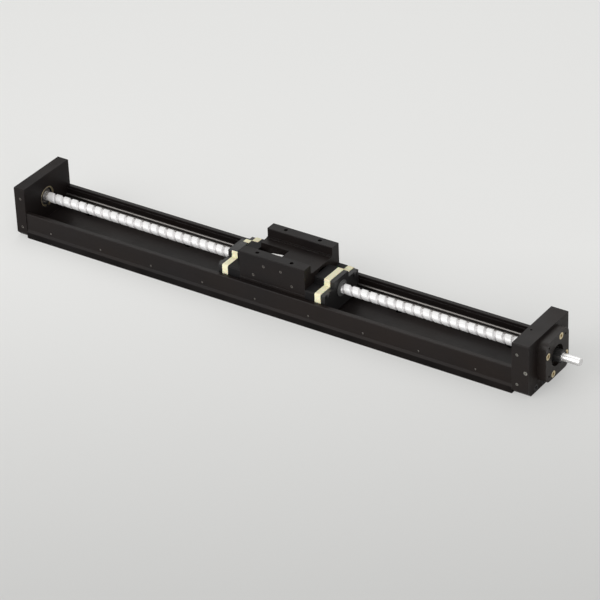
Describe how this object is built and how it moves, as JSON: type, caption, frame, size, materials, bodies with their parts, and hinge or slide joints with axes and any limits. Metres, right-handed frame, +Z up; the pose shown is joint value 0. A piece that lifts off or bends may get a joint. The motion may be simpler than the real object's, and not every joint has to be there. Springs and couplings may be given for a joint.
{
  "type": "ball screw linear axis",
  "caption": "Linear axis with a U-shaped black rail, a low carriage running inside it on ball guideways, and an open ball screw between end plates with a square motor flange.",
  "frame": {"origin": "centre of the bounding box in plan, on the plane the rail stands on", "axes": "+X along the rail towards the motor flange, +Y to the far side, +Z up from the mounting face"},
  "size_m": [0.635, 0.075, 0.0596],
  "materials": {
    "black_anodised": "black anodised, fine matt grain",
    "guide_steel": "ground and hardened guideway steel",
    "bright_steel": "polished",
    "ground_steel": "finely ground",
    "black_steel": "black oxide",
    "plain_steel": "plain, slightly dulled",
    "yellow_plated_steel": "pale yellow plating, satin",
    "cream_wiper": "pale cream, matt",
    "black_plastic": "moulded, matt"
  },
  "bodies": {
    "base": {"rail": "black_anodised", "way_strip_near": "guide_steel", "way_strip_far": "guide_steel", "support_end_plate": "black_anodised", "support_bearing_outer_ring": "ground_steel", "support_bearing_balls": "bright_steel", "support_retaining_ring": "yellow_plated_steel", "support_plate_screws": "black_steel", "support_side_screws": "plain_steel", "drive_end_block": "black_anodised", "drive_bearing_outer_ring_a": "ground_steel", "drive_bearing_outer_ring_b": "ground_steel", "drive_bearing_balls": "bright_steel", "drive_block_screws": "black_steel", "drive_side_screws": "plain_steel", "block_side_plug": "plain_steel", "motor_flange": "black_anodised", "flange_screws": "yellow_plated_steel"},
    "screw": {"ball_screw": "bright_steel", "support_journal": "bright_steel", "drive_shaft": "bright_steel", "screw_spacer": "ground_steel", "bearing_lock_nut": "black_steel", "support_bearing_inner_ring": "ground_steel", "drive_bearing_inner_ring_a": "ground_steel", "drive_bearing_inner_ring_b": "ground_steel", "journal_clip": "black_steel"},
    "carriage": {"carriage_block": "black_anodised", "carriage_strip_near": "guide_steel", "carriage_strip_far": "guide_steel", "guide_balls_near": "bright_steel", "guide_balls_far": "bright_steel", "carriage_side_screws": "plain_steel", "ball_nut": "ground_steel", "nut_balls": "bright_steel", "nut_return_tube": "bright_steel", "nut_screws": "black_steel", "end_cap_support_side": "black_plastic", "wiper_support_side": "cream_wiper", "cover_plate_support_side": "black_anodised", "cap_screws_support_side": "black_steel", "end_cap_drive_side": "black_plastic", "wiper_drive_side": "cream_wiper", "cover_plate_drive_side": "black_anodised", "cap_screws_drive_side": "black_steel"}
  },
  "joints": [
    {"name": "carriage_slide", "type": "slide", "parent": "base", "child": "carriage", "axis": [1, 0, 0], "range_m": [-0.231, 0.208]},
    {"name": "screw_spin", "type": "hinge", "parent": "base", "child": "screw", "pos_m": [0, 0, 0.031], "axis": [1, 0, 0], "range_deg": [-7560, 8400]}
  ],
  "couplings": [
    {"joint": "screw_spin", "follows": "carriage_slide", "rad_per_m": -628.32}
  ]
}
